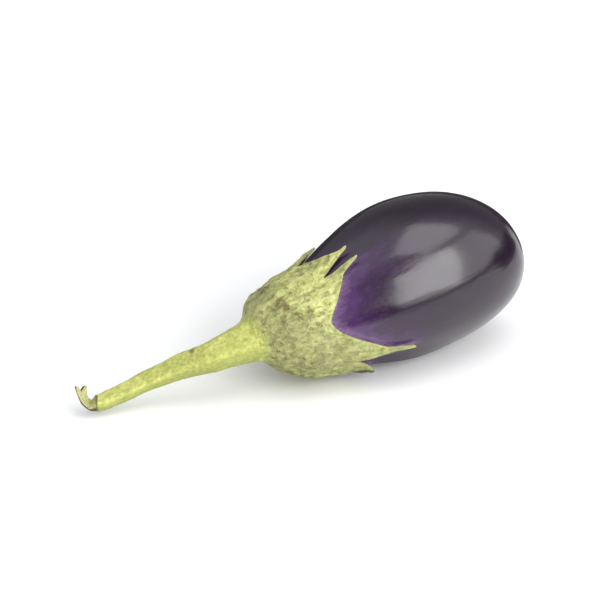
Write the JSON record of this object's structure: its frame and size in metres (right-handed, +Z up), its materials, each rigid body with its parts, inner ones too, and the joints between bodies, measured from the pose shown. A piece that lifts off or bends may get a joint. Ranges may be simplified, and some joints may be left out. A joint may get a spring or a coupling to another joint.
{
  "type": "thai eggplant",
  "caption": "Small oval purple eggplant lying on its side, with a glossy skin, a lobed green calyx and a curved stem with a torn tip.",
  "frame": {"origin": "middle of the small flat spot under the belly that the eggplant rests on", "axes": "+X runs from the stem to the blossom end along the surface it lies on, +Z is up, +Y is to the left as seen from the stem"},
  "size_m": [0.1185, 0.0396, 0.04],
  "materials": {
    "skin": "gloss",
    "sepal": "satin",
    "stem_bark": "satin"
  },
  "bodies": {
    "root": {"fruit": "skin", "calyx": "sepal", "stem": "stem_bark"}
  },
  "joints": []
}
